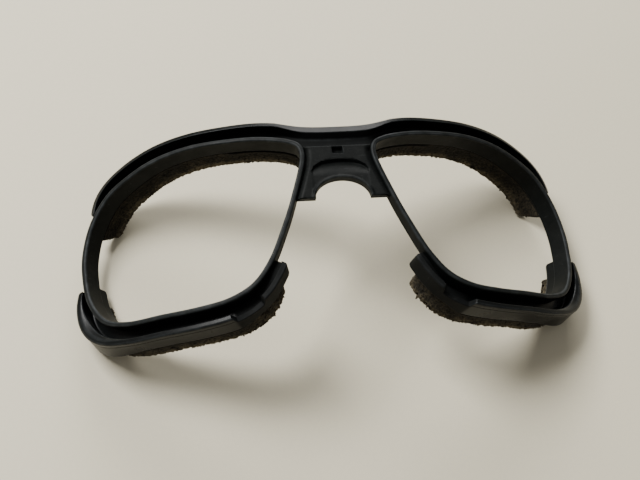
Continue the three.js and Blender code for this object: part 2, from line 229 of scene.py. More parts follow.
class FrontView:
    """The middle line of a rim in the flat front view: brow, temple side, and back along the cheek."""

    STEPS = 80  # between two corners of the rim's shape

    def __init__(self, sizes):
        self.sizes = sizes
        self.nose_x = sizes.rim_gap / 2
        self.half_width = self.nose_x + sizes.lens_width
        corners = np.array([
            (self.nose_x + across * sizes.lens_width, up * sizes.lens_height / 2 - sizes.lens_drop)
            for across, up in RIM_SHAPE
        ])
        steps = np.linspace(0, 1, self.STEPS, endpoint=False)[:, None]
        before, here = np.roll(corners, 1, 0), corners
        after, beyond = np.roll(corners, -1, 0), np.roll(corners, -2, 0)
        points, slopes = [], []
        for p0, p1, p2, p3 in zip(before, here, after, beyond):
            d0, d1, d2 = (math.sqrt(np.linalg.norm(b - a)) for a, b in ((p0, p1), (p1, p2), (p2, p3)))
            m1 = ((p1 - p0) / d0 - (p2 - p0) / (d0 + d1) + (p2 - p1) / d1) * d1
            m2 = ((p2 - p1) / d1 - (p3 - p1) / (d1 + d2) + (p3 - p2) / d2) * d1
            c2 = 3 * (p2 - p1) - 2 * m1 - m2
            c3 = 2 * (p1 - p2) + m1 + m2
            points.append(p1 + m1 * steps + c2 * steps ** 2 + c3 * steps ** 3)
            slopes.append(m1 + 2 * c2 * steps + 3 * c3 * steps ** 2)
        points, slopes = np.concatenate(points), np.concatenate(slopes)
        points, slopes = np.vstack([points, points[:1]]), np.vstack([slopes, slopes[:1]])
        slopes /= np.linalg.norm(slopes, axis=1)[:, None]
        run = np.concatenate([[0], np.cumsum(np.linalg.norm(np.diff(points, axis=0), axis=1))])
        self.length = run[-1]
        self.run, self.points, self.slopes = run / run[-1], points, slopes

    def at(self, shares, reach):
        """Points at these shares of the rim's length, moved outwards by reach."""
        where = np.mod(shares, 1)
        point = [np.interp(where, self.run, self.points[:, i]) for i in (0, 1)]
        along = [np.interp(where, self.run, self.slopes[:, i]) for i in (0, 1)]
        size = np.hypot(*along)
        return np.stack([point[0] - along[1] / size * reach, point[1] + along[0] / size * reach], -1)

    def stations(self, first, last, pitch):
        return np.linspace(first, last, max(2, round((last - first) * self.length / pitch)) + 1)

    def swept(self, shares, section):
        """Flat points (across, up, depth) of a section, given as (reach, depth) at each share."""
        flat = self.at(shares.reshape(len(section), -1), section[..., 0])
        return np.concatenate([flat, section[..., 1:]], -1)


def rim_depths(view, shares):
    s = view.sizes
    flat = view.at(shares, 0)
    across = (flat[:, 0] - view.nose_x) / s.lens_width
    up = np.abs(flat[:, 1] + s.lens_drop) / (s.lens_height / 2)
    nose_bar = (1 - smooth(*NOSE_BAR_ACROSS, across)) * (1 - smooth(*NOSE_BAR_UP, up))
    return s.rim_depth - nose_bar * (s.rim_depth - s.nose_bar_depth)


def flange_reach(s, shares):
    tip = s.rim_wall / 2 + s.gap + FLANGE_TIP_WALL
    run_out = np.clip(1 - (FLANGE_END - shares) / FLANGE_RUN_OUT, 0, 1)
    swell = s.flange_swell * (1 - smooth(FLANGE_START, SWELL_END, shares))
    return s.flange_reach + swell - (s.flange_reach - tip) * run_out ** 3


def corner_bulge(shares):
    return smooth(LIP_START, CORNER_MIDDLE, shares) * (1 - smooth(CORNER_MIDDLE, LIP_FLAT, shares))


def lip_reach(s, shares):
    tip = s.rim_wall / 2 + s.gap + LIP_TIP_WALL
    rise = 1 - np.clip((LIP_FLAT - shares) / (LIP_FLAT - LIP_START), 0, 1) ** LIP_RISE_POWER
    drop = (s.lip_reach - s.lip_tab_reach) * smooth(NOTCH_START, LIP_END, shares)
    return tip + (s.lip_reach - tip) * rise - drop + s.corner_swell * corner_bulge(shares)


def lip_depths(s, shares):
    return s.lip_depth - (s.lip_depth - s.lip_tab_depth) * smooth(NOTCH_START, NOTCH_END, shares)


def section_of(*corners):
    """Stacks a section's corners, each (reach, depth) a number or one value for each station."""
    count = max(np.size(v) for corner in corners for v in corner)
    return np.stack([np.stack([np.broadcast_to(v, count) for v in corner], -1) for corner in corners], 1)


MOST_OF_A_SIDE = 0.42  # the largest fillet, as a share of the shorter side beside it
SUPPORT = 1.18  # how far out the support points lie, in radii


def filleted(corners, radii, steps=4):
    """Rounds every corner of the sections, with a support point on each side of each fillet."""
    before, after = np.roll(corners, 1, 1) - corners, np.roll(corners, -1, 1) - corners
    far = [np.linalg.norm(v, axis=-1, keepdims=True) for v in (before, after)]
    radius = np.minimum(np.broadcast_to(np.array(radii), corners.shape[:2])[..., None],
                        MOST_OF_A_SIDE * np.minimum(*far))
    start, end = (corners + v / d * radius for v, d in zip((before, after), far))
    lead, trail = (corners + v / d * radius * SUPPORT for v, d in zip((before, after), far))
    t = np.linspace(0, 1, steps + 1)[:, None]
    bend = [(1 - u) ** 2 * start + 2 * u * (1 - u) * corners + u ** 2 * end for u in t]
    rounded = np.stack([lead, *bend, trail], 2)
    return rounded.reshape(len(corners), -1, 2)


def wear_and_highlight_marks(weights, steps=4):
    """How much each point of a filleted section lies on an edge worn pale by handling, which also paints a
    highlight there.
    """
    bump = np.sin(np.linspace(0, math.pi, steps + 3)) ** 0.5
    return (np.array(weights)[:, None] * bump).ravel()


def ends_rounded(section, distance, radius):
    """Draws sections in by a rounded amount near the ends of a strip."""
    near = np.clip(distance, 0, radius)
    inset = (radius - np.sqrt(radius ** 2 - (radius - near) ** 2))[:, None, None]
    low, high = section.min(1, keepdims=True), section.max(1, keepdims=True)
    middle, half = (low + high) / 2, (high - low) / 2
    return middle + (section - middle) * (1 - np.minimum(inset / half, 0.6))


def ring_faces(stations, around, closed):
    first = np.arange(stations if closed else stations - 1)[:, None] * around
    last = (first + around) % (stations * around)
    i = np.arange(around)[None]
    j = (i + 1) % around
    quads = np.stack([first + i, first + j, last + j, last + i], -1).reshape(-1, 4).tolist()
    if not closed:
        quads += [list(range(around)), list(range((stations - 1) * around, stations * around))]
    return quads


# Node trees

def connected(tree, node, links):
    """Links a node's inputs to sockets, or sets them to values, by name or index."""
    for key, value in links:
        if isinstance(value, bpy.types.NodeSocket):
            tree.links.new(value, node.inputs[key])
        else:
            node.inputs[key].default_value = value
    return node


def put(tree, kind, links=(), **settings):
    """Adds a node, sets its properties, and sets or links its inputs."""
    node = tree.nodes.new(kind)
    for name, value in settings.items():
        setattr(node, name, value)
    return connected(tree, node, links)


def maths(tree, operation, *values):
    return put(tree, "ShaderNodeMath", enumerate(values), operation=operation).outputs[0]


def plus(tree, *values):
    return maths(tree, "ADD", *values)


def minus(tree, *values):
    return maths(tree, "SUBTRACT", *values)


def times(tree, first, *others):
    for other in others:
        first = maths(tree, "MULTIPLY", first, other)
    return first


def once(collection):
    """Makes a builder keep to one node group or material of its name, however often it is asked."""
    def wrap(build):
        def given(name, *values):
            made = getattr(bpy.data, collection)
            return made[name] if name in made else build(name, *values)
        return given
    return wrap


def new_tree(name, kind, inputs, outputs):
    """A node group with its inputs, each a kind of socket and a default, and its outputs."""
    tree = bpy.data.node_groups.new(name, kind)
    for label, socket, default in inputs:
        made = tree.interface.new_socket(label, in_out="INPUT", socket_type="NodeSocket" + socket)
        if default is not None:
            made.default_value = default
    for label, socket in outputs:
        tree.interface.new_socket(label, in_out="OUTPUT", socket_type="NodeSocket" + socket)
    return tree, tree.nodes.new("NodeGroupInput").outputs, tree.nodes.new("NodeGroupOutput").inputs


def coated(tree, geometry, material, made):
    """Ends a Geometry Nodes tree: real points instead of instances, and the material."""
    solid = put(tree, "GeometryNodeRealizeInstances", ((0, geometry),))
    last = put(tree, "GeometryNodeSetMaterial", (("Geometry", solid.outputs[0]), ("Material", material)))
    tree.links.new(last.outputs[0], made[0])
    return tree


@once("node_groups")
def wrap_tree(name):
    """Geometry Nodes: bends a flat front view round the wrap of the face and presses it on the ground."""
    tree, given, made = new_tree(name, "GeometryNodeTree", (
        ("Geometry", "Geometry", None), ("Front Height", "Float", 0.0348), ("Wrap Depth", "Float", 0.027),
        ("Wrap Power", "Float", 1.9), ("Half Width", "Float", 0.067), ("Shift", "Float", 0.0),
        ("Material", "Material", None)), (("Geometry", "Geometry"),))
    depth_of_wrap, power, half_width = (given[label] for label in ("Wrap Depth", "Wrap Power", "Half Width"))
    position = tree.nodes.new("GeometryNodeInputPosition").outputs[0]
    x, y, depth = put(tree, "ShaderNodeSeparateXYZ", ((0, position),)).outputs
    reach = maths(tree, "DIVIDE", maths(tree, "ABSOLUTE", x), half_width)
    steep = maths(tree, "DIVIDE", times(tree, depth_of_wrap, power), half_width)
    slope = times(tree, steep, maths(tree, "POWER", reach, minus(tree, power, 1)))
    lean = maths(tree, "ARCTANGENT", slope)
    inwards = times(tree, maths(tree, "SIGN", x), depth, maths(tree, "SINE", lean))
    back = times(tree, depth_of_wrap, maths(tree, "POWER", reach, power))
    behind = plus(tree, back, times(tree, depth, maths(tree, "COSINE", lean)))
    height = maths(tree, "MAXIMUM", minus(tree, given["Front Height"], behind), 0)
    moved = put(tree, "ShaderNodeCombineXYZ", (
        (0, minus(tree, x, inwards)), (1, plus(tree, y, given["Shift"])), (2, height)))
    bend = put(tree, "GeometryNodeSetPosition", (
        ("Geometry", given["Geometry"]), ("Position", moved.outputs[0])))
    return coated(tree, bend.outputs[0], given["Material"], made)


@once("node_groups")
def crumb_tree(name):
    """Geometry Nodes: scatters torn crumbs over the crumbled parts of a foam strip."""
    tree, given, made = new_tree(name, "GeometryNodeTree", (
        ("Geometry", "Geometry", None), ("Density", "Float", 5e5), ("Smallest", "Float", 0.0001),
        ("Largest", "Float", 0.0003), ("Seed", "Int", 0), ("Material", "Material", None)),
        (("Geometry", "Geometry"),))
    loose = put(tree, "GeometryNodeInputNamedAttribute", (("Name", "loose"),), data_type="FLOAT").outputs[0]
    points = put(tree, "GeometryNodeDistributePointsOnFaces", (
        ("Mesh", given["Geometry"]), ("Density", times(tree, given["Density"], loose)),
        ("Seed", given["Seed"])), distribute_method="RANDOM")
    crumb = put(tree, "GeometryNodeMeshIcoSphere", (("Radius", 1.0), ("Subdivisions", 1)))
    turn = put(tree, "FunctionNodeRandomValue", (
        (0, (0, 0, 0)), (1, (FULL_TURN,) * 3), ("Seed", given["Seed"])), data_type="FLOAT_VECTOR")
    size = put(tree, "FunctionNodeRandomValue", (("Seed", plus(tree, given["Seed"], 1)),),
               data_type="FLOAT_VECTOR")
    for index, label in enumerate(("Smallest", "Largest")):
        even = put(tree, "ShaderNodeCombineXYZ", ((axis, given[label]) for axis in range(3)))
        tree.links.new(even.outputs[0], size.inputs[index])
    spread = put(tree, "GeometryNodeInstanceOnPoints", (
        ("Points", points.outputs[0]), ("Instance", crumb.outputs[0]), ("Rotation", turn.outputs[0]),
        ("Scale", size.outputs[0])))
    return coated(tree, spread.outputs[0], given["Material"], made)


def grown(obj, tree, **values):
    """Runs a Geometry Nodes tree on an object and returns its result as a plain mesh."""
    step = obj.modifiers.new(tree.name, "NODES")
    step.node_group = tree
    names = {item.name: item.identifier for item in tree.interface.items_tree if item.in_out == "INPUT"}
    for name, value in values.items():
        step[names[name.replace("_", " ")]] = value
    evaluated = obj.evaluated_get(bpy.context.evaluated_depsgraph_get())
    mesh = bpy.data.meshes.new_from_object(evaluated)
    obj.modifiers.remove(step)
    return mesh


# Shared effects of the materials

def object_place(tree, scale):
    where = tree.nodes.new("ShaderNodeTexCoord").outputs["Object"]
    return put(tree, "ShaderNodeMapping", (("Vector", where), ("Scale", (scale,) * 3))).outputs[0]


def attribute(tree, name):
    return put(tree, "ShaderNodeAttribute", (), attribute_name=name).outputs["Fac"]


def ranged(tree, value, low, high, to_low=0.0, to_high=1.0):
    return put(tree, "ShaderNodeMapRange", enumerate((value, low, high, to_low, to_high))).outputs[0]


def texture(tree, where, scale, detail=3.0, roughness=0.55):
    return put(tree, "ShaderNodeTexNoise", (
        ("Vector", where), ("Scale", scale), ("Detail", detail), ("Roughness", roughness))).outputs[0]


def cells_at(tree, where, scale):
    return put(tree, "ShaderNodeTexVoronoi", (("Vector", where), ("Scale", scale))).outputs["Distance"]


def blended(tree, factor, first, second, kind="MIX"):
    mix = put(tree, "ShaderNodeMix", (), data_type="RGBA", blend_type=kind)
    return connected(tree, mix, ((0, factor), (6, first), (7, second))).outputs[2]


def effect(name, inputs, outputs):
    """A shader node group with its inputs and outputs, and the place on the object it works from."""
    tree, given, made = new_tree(name, "ShaderNodeTree", inputs, outputs)
    return tree, given, made, object_place(tree, 1)


@once("node_groups")
def grain_group(name):
    """Fine moulded grain with faint flow marks: a height and a roughness."""
    tree, given, made, where = effect(name, (
        ("Grain Scale", "Float", 3000.0), ("Smooth", "Float", 0.3), ("Rough", "Float", 0.5)),
        (("Height", "Float"), ("Roughness", "Float")))
    fine = texture(tree, where, given["Grain Scale"], 2)
    pores = cells_at(tree, where, times(tree, given["Grain Scale"], 0.45))
    tree.links.new(plus(tree, fine, times(tree, pores, 0.5)), made["Height"])
    flow_marks = ranged(tree, texture(tree, where, 160, 4, 0.6), 0.3, 0.72)
    spread = times(tree, minus(tree, given["Rough"], given["Smooth"]), flow_marks)
    tree.links.new(plus(tree, given["Smooth"], spread), made["Roughness"])
    return tree


@once("node_groups")
def wear_and_highlight_group(name):
    """Edges worn pale and smooth by handling: the colour and mask, the pale colour also a painted highlight
    along the edges.
    """
    tree, given, made, where = effect(name, (
        ("Color", "Color", (0.01, 0.01, 0.01, 1)), ("Wear And Highlight Color", "Color", (0.05, 0.05, 0.05, 1)),
        ("Amount", "Float", 0.5)), (("Color", "Color"), ("Mask", "Float")))
    broken = ranged(tree, texture(tree, where, 420, 5, 0.65), 0.42, 0.68)
    patchy = plus(tree, 0.35, times(tree, broken, 0.65))
    # Pale colour along the marked edges: worn edges and a painted highlight.
    rubbed_and_highlit = times(tree, attribute(tree, "edge"), given["Amount"], patchy)
    stretched = put(tree, "ShaderNodeMapping", (
        ("Vector", where), ("Scale", (260, 2600, 700)), ("Rotation", (0.5, 0.2, 0.7)))).outputs[0]
    scratches = put(tree, "ShaderNodeTexNoise", (
        ("Vector", stretched), ("Scale", 1.0), ("Detail", 1.0))).outputs[0]
    marks = times(tree, ranged(tree, scratches, 0.7, 0.78), 0.35, given["Amount"])
    mask = maths(tree, "MINIMUM", plus(tree, rubbed_and_highlit, marks), 1)
    tree.links.new(blended(tree, mask, given["Color"], given["Wear And Highlight Color"]), made["Color"])
    tree.links.new(mask, made["Mask"])
    return tree


@once("node_groups")
def dust_group(name):
    """Fine settled dust and lint: thicker on what faces up, gathered in specks."""
    tree, given, made, where = effect(name, (
        ("Color", "Color", (0.01, 0.01, 0.01, 1)), ("Dust Color", "Color", (0.2, 0.19, 0.16, 1)),
        ("Amount", "Float", 0.1)), (("Color", "Color"), ("Mask", "Float")))
    normal = tree.nodes.new("ShaderNodeNewGeometry").outputs["Normal"]
    facing = ranged(tree, put(tree, "ShaderNodeSeparateXYZ", ((0, normal),)).outputs[2], -0.1, 0.9, 0.25, 1)
    cloud = ranged(tree, texture(tree, where, 300, 5, 0.7), 0.4, 0.75)
    speck = times(tree, ranged(tree, cells_at(tree, where, 900.0), 0.16, 0.07), 1.4)
    mask = maths(tree, "MINIMUM", times(tree, plus(tree, cloud, speck), facing, given["Amount"]), 1)
    tree.links.new(blended(tree, mask, given["Color"], given["Dust Color"]), made["Color"])
    tree.links.new(mask, made["Mask"])
    return tree


@once("node_groups")
def cell_group(name):
    """Open cells of worn foam: a height, a painted shade deep inside each cell, and a slow change of tone."""
    tree, given, made, where = effect(name, (("Cell Scale", "Float", 2200.0),), (
        ("Height", "Float"), ("Cell Shade", "Float"), ("Tone", "Float")))
    swirl = put(tree, "ShaderNodeTexNoise", (
        ("Vector", where), ("Scale", 1500.0), ("Detail", 2.0))).outputs[1]
    warped = blended(tree, 0.00035, where, swirl, "LINEAR_LIGHT")
    walls = ranged(tree, cells_at(tree, warped, given["Cell Scale"]), 0.15, 0.62)
    fine = texture(tree, where, 6500, 3, 0.7)
    tree.links.new(plus(tree, walls, times(tree, fine, 0.6)), made["Height"])
    # Painted shade inside each cell.
    tree.links.new(minus(tree, 1, walls), made["Cell Shade"])
    tree.links.new(ranged(tree, texture(tree, where, 240, 4, 0.65), 0.3, 0.7), made["Tone"])
    return tree


# Materials

def grouped(tree, made, links):
    return connected(tree, put(tree, "ShaderNodeGroup", (), node_tree=made), links).outputs


def grained(tree, scale, smooth_spots, rough_spots):
    return grouped(tree, grain_group("Moulded grain"), (
        ("Grain Scale", scale), ("Smooth", smooth_spots), ("Rough", rough_spots)))


def dusted(tree, color, amount):
    finish = bpy.context.scene.goggles_finish
    return grouped(tree, dust_group("Settled dust"), (
        ("Color", color), ("Dust Color", (*finish.dust, 1)), ("Amount", amount)))


def started(name):
    material = bpy.data.materials.new(name)
    material.use_nodes = True
    tree = material.node_tree
    return material, tree, tree.nodes["Principled BSDF"].inputs


def bumped(tree, shader, height, strength, distance):
    bump = put(tree, "ShaderNodeBump", (("Strength", strength), ("Distance", distance), ("Height", height)))
    tree.links.new(bump.outputs[0], shader["Normal"])


@once("materials")
def plastic_material(name, base, smoothness, roughness, grain, strength, wear_and_highlight, dust, gleam):
    """Moulded plastic: its smoothest and roughest spots, grain size and height, worn edges that also carry a
    painted highlight, dust and gleam.
    """
    finish = bpy.context.scene.goggles_finish
    material, tree, shader = started(name)
    surface = grained(tree, grain, smoothness, roughness)
    # Marked edges take the worn colour: worn edges and a painted highlight.
    worn = grouped(tree, wear_and_highlight_group("Handled edges"), (
        ("Color", (*base, 1)), ("Wear And Highlight Color", (*finish.worn, 1)), ("Amount", wear_and_highlight)))
    dirty = dusted(tree, worn["Color"], dust)
    tree.links.new(dirty["Color"], shader["Base Color"])
    polished = times(tree, surface["Roughness"], minus(tree, 1, times(tree, worn["Mask"], 0.5)))
    dull = plus(tree, polished, times(tree, dirty["Mask"], 0.4))
    dull = plus(tree, dull, times(tree, attribute(tree, "matte"), 0.45))
    tree.links.new(maths(tree, "MINIMUM", dull, 1), shader["Roughness"])
    bumped(tree, shader, surface["Height"], strength, 0.00004)
    shader["Specular IOR Level"].default_value = gleam
    return material


def matte_plastic():
    base = bpy.context.scene.goggles_finish.plastic
    return plastic_material("Grained charcoal plastic", base, 0.46, 0.64, 3200, 0.35, 0.7, 0.022, 0.09)


def satin_plastic():
    base = bpy.context.scene.goggles_finish.gloss
    return plastic_material("Satin charcoal plastic", base, 0.24, 0.4, 2600, 0.12, 0.4, 0.01, 0.13)


@once("materials")
def foam_material(name):
    """Dark open-cell foam, dry and pale where it crumbles, with painted shade inside its cells and in the
    sunk spots of its faces.
    """
    finish = bpy.context.scene.goggles_finish
    material, tree, shader = started(name)
    cells = grouped(tree, cell_group("Open cells"), (("Cell Scale", 2300.0),))
    crumbly = times(tree, cells["Tone"], ranged(tree, attribute(tree, "loose"), 0.2, 1.0, 0.4, 2.0))
    # Painted shade: darker in the sunk spots and inside the cells.
    dry = times(tree, crumbly, minus(tree, 1, times(tree, attribute(tree, "pit"), 0.75)))
    deep = times(tree, cells["Cell Shade"], 0.6, 0.6)
    tone = maths(tree, "MAXIMUM", minus(tree, dry, deep), 0.04)
    shade = blended(tree, tone, (*finish.foam_dark, 1), (*finish.foam_light, 1))
    tree.links.new(shade, shader["Base Color"])
    tree.links.new(ranged(tree, cells["Tone"], 0, 1, 0.86, 1.0), shader["Roughness"])
    bumped(tree, shader, cells["Height"], 0.8, 0.00012)
    shader["Specular IOR Level"].default_value = 0.08
    shader["Sheen Weight"].default_value = 0.04
    shader["Sheen Roughness"].default_value = 0.6
    return material


@once("materials")
def film_material(name):
    """Thin adhesive film, dusty where it shows."""
    finish = bpy.context.scene.goggles_finish
    material, tree, shader = started(name)
    surface = grained(tree, 900.0, 0.35, 0.6)
    tree.links.new(dusted(tree, (*finish.film, 1), 0.35)["Color"], shader["Base Color"])
    tree.links.new(surface["Roughness"], shader["Roughness"])
    bumped(tree, shader, surface["Height"], 0.5, 0.00006)
    return material


# Pieces

def new_mesh(name, points, faces, **marks):
    mesh = bpy.data.meshes.new(name)
    mesh.from_pydata(np.asarray(points, float).reshape(-1, 3).tolist(), [], faces)
    for mark, values in marks.items():
        values = np.asarray(values, np.float32).ravel()
        mesh.attributes.new(mark, "FLOAT", "POINT").data.foreach_set("value", values)
    return mesh


def tidied(mesh, angle):
    """Merges doubles, turns the faces outwards and shades the mesh smooth up to an angle."""
    work = bmesh.new()
    work.from_mesh(mesh)
    bmesh.ops.remove_doubles(work, verts=work.verts, dist=1e-7)
    bmesh.ops.recalc_face_normals(work, faces=work.faces)
    work.to_mesh(mesh)
    work.free()
    mesh.shade_smooth()
    mesh.set_sharp_from_angle(angle=math.radians(angle))
    mesh.update()


def shift_up():
    """How far the flat front view is moved so that the origin lies under the middle of the part."""
    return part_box("bridge_plate")[1].y - bpy.context.scene.goggles_bridge.top


def linked(name, mesh):
    obj = bpy.data.objects.new(name, mesh)
    bpy.context.scene.collection.objects.link(obj)
    return obj


def wrapped(name, points, faces, material, angle=38, **marks):
    """A piece made flat, bent round the face, and left as a plain mesh at the origin."""
    sizes = bpy.context.scene.goggles_frame
    obj = linked(name, new_mesh(name, points, faces, **marks))
    flat = obj.data
    obj.data = grown(
        obj, wrap_tree("Wrap round the face"), Front_Height=sizes.front_height, Wrap_Depth=sizes.wrap_depth,
        Wrap_Power=sizes.wrap_power, Half_Width=sizes.rim_gap / 2 + sizes.lens_width,
        Shift=shift_up(), Material=material)
    bpy.data.meshes.remove(flat)
    obj.data.name = name
    tidied(obj.data, angle)
    return obj


def settle(obj, slot, *nodes):
    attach(obj, BODY)
    if nodes:
        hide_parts(*nodes)
    return obj


def strip_piece(name, view, side, shares, section, material, marks, closed=False, matte=0.0):
    points = view.swept(shares, section)
    points[..., 0] *= side
    stations, around = section.shape[:2]
    return wrapped(name, points, ring_faces(stations, around, closed), material,
                   edge=np.broadcast_to(marks, (stations, around)),
                   matte=np.broadcast_to(np.reshape(matte, (-1, 1)), (stations, around)))


def both_sides(kind, slot, *shape, **more):
    """Makes a strip on each side, to stand for the node of its kind."""
    for label, side in SIDES:
        view, *rest = shape
        settle(strip_piece(f"{kind}_shell_{label}", view, side, *rest, **more), slot, f"{kind}_{label}")


class GOGGLES_OT_rims(bpy.types.Operator):
    """Makes the two rims: thin closed walls with a rounded front edge"""
    bl_idname = "goggles.rims"
    bl_label = "Rims"
    STATIONS, FILLET_STEPS = 520, 5

    def execute(self, context):
        s = context.scene.goggles_frame
        view = FrontView(s)
        shares = np.linspace(0, 1, self.STATIONS, endpoint=False)
        depth = rim_depths(view, shares)
        half = s.rim_wall / 2
        corners = section_of((-half, 0), (half, 0), (half, depth), (-half, depth))
        section = filleted(corners, (0.0005, 0.00055, 0.0002, 0.0003), self.FILLET_STEPS)
        # Pale marks on the front edges: worn edges and a painted highlight.
        marks = wear_and_highlight_marks((1, 0.7, 0, 0.2), self.FILLET_STEPS)
        both_sides("rim", "frame_plastic", view, shares, section, matte_plastic(), marks, closed=True)
        return {"FINISHED"}


class GOGGLES_OT_brow_flange(bpy.types.Operator):
    """Makes the brow flange: an outer wall over both eyes and the bridge, and the floor of its channel"""
    bl_idname = "goggles.brow_flange"
    bl_label = "Brow flange"
    PITCH, FILLET_STEPS, BRIDGE_STEPS = 0.0003, 5, 60
    SHELF_GAP = 0.0003  # between the plate and the foot of the slope over the nose
    END_ROUND = 0.0006

    def execute(self, context):
        s = context.scene.goggles_frame
        bridge = context.scene.goggles_bridge
        view = FrontView(s)
        shares = view.stations(FLANGE_START, FLANGE_END, self.PITCH)
        reach = flange_reach(s, shares)
        touch = s.rim_wall / 2 - TOUCH
        outside, inside = (self.line(view, s, shares, reach, inset) for inset in (0, s.flange_wall))
        floor = self.floor_line(view, shares, touch, bridge.top, self.BRIDGE_STEPS)
        across = [np.linalg.norm(b - a, axis=1) for a, b in ((outside, inside), (inside, floor))]
        wall, total = across[0], across[0] + across[1]
        over_nose = 1 - smooth(0.5, 1.0, np.abs(outside[:, 0]) / outside[self.BRIDGE_STEPS, 0])
        floor_front = s.flange_depth - s.floor_thick
        slope_top = floor_front - over_nose * (floor_front - bridge.set_back - self.SHELF_GAP)
        crest = wall + s.nose_shelf * over_nose
        foot = crest + s.nose_slope * over_nose
        foot_depth = floor_front - over_nose * (floor_front - s.nose_foot)
        corners = section_of(
            (0, s.flange_crown * (1 + over_nose)), (0, s.flange_depth), (total, s.flange_depth),
            (total, slope_top), (foot, foot_depth), (crest, 0))
        section = filleted(corners, (0.0004, 0.0005, 0.0001, 0.0001, 0.0004, 0.0002), self.FILLET_STEPS)
        # Pale marks on the crest and, over the nose, at the foot of the slope: worn edges and a painted
        # highlight.
        marks = wear_and_highlight_marks((0.3, 0.5, 0, 0, 0, 1), self.FILLET_STEPS)
        marks = marks + over_nose[:, None] * wear_and_highlight_marks((0, 0, 0, 0, 0.7, 0), self.FILLET_STEPS)
        run = np.concatenate([[0], np.cumsum(np.linalg.norm(np.diff(outside, axis=0), axis=1))])
        section = ends_rounded(section, run[-1] - run, self.END_ROUND)
        t = section[..., 0]
        on_wall = np.clip(t / wall[:, None], -0.2, 1)[..., None]
        on_floor = np.clip((t - wall[:, None]) / across[1][:, None], 0, 1)[..., None]
        flat = outside[:, None] + (inside - outside)[:, None] * on_wall + (floor - inside)[:, None] * on_floor
        half = np.concatenate([flat, section[..., 1:]], -1)
        other = half[:0:-1] * (-1, 1, 1)
        points = np.concatenate([other, half])
        stations, around = points.shape[:2]
        flange = wrapped("brow_flange_shell", points, ring_faces(stations, around, False), satin_plastic(),
                         edge=np.concatenate([marks[:0:-1], marks]),
                         matte=np.tile(np.repeat((0, 0, 0, 1, 1, 0), around // 6), stations))
        settle(flange, "flange_plastic", "brow_flange")
        return {"FINISHED"}

    def line(self, view, s, shares, reach, inset):
        """Right half of the flange's outside, from the middle of the bridge to its end."""
        least = s.rim_wall / 2 if inset else 0
        side = view.at(shares, np.maximum(reach - inset, least))
        first, top = side[0], s.flange_bridge_top - inset
        bend = np.array([(0, top), (BRIDGE_LEVEL * first[0], top),
                         (BRIDGE_BEND * first[0], first[1] - BRIDGE_SLOPE * first[0]), first])
        t = np.linspace(0, 1, self.BRIDGE_STEPS + 1)[:-1, None]
        weights = ((1 - t) ** 3, 3 * t * (1 - t) ** 2, 3 * t ** 2 * (1 - t), t ** 3)
        over = sum(w * p for w, p in zip(weights, bend))
        return np.vstack([over, side])

    def floor_line(self, view, shares, touch, plate_top, steps):
        corner = view.at(np.linspace(FLOOR_CORNER, shares[0], steps // 3, endpoint=False), touch)
        count = steps - len(corner)
        plate = np.stack([corner[0, 0] * np.arange(count) / count, np.full(count, plate_top - TOUCH)], -1)
        return np.vstack([plate, corner, view.at(shares, touch)])


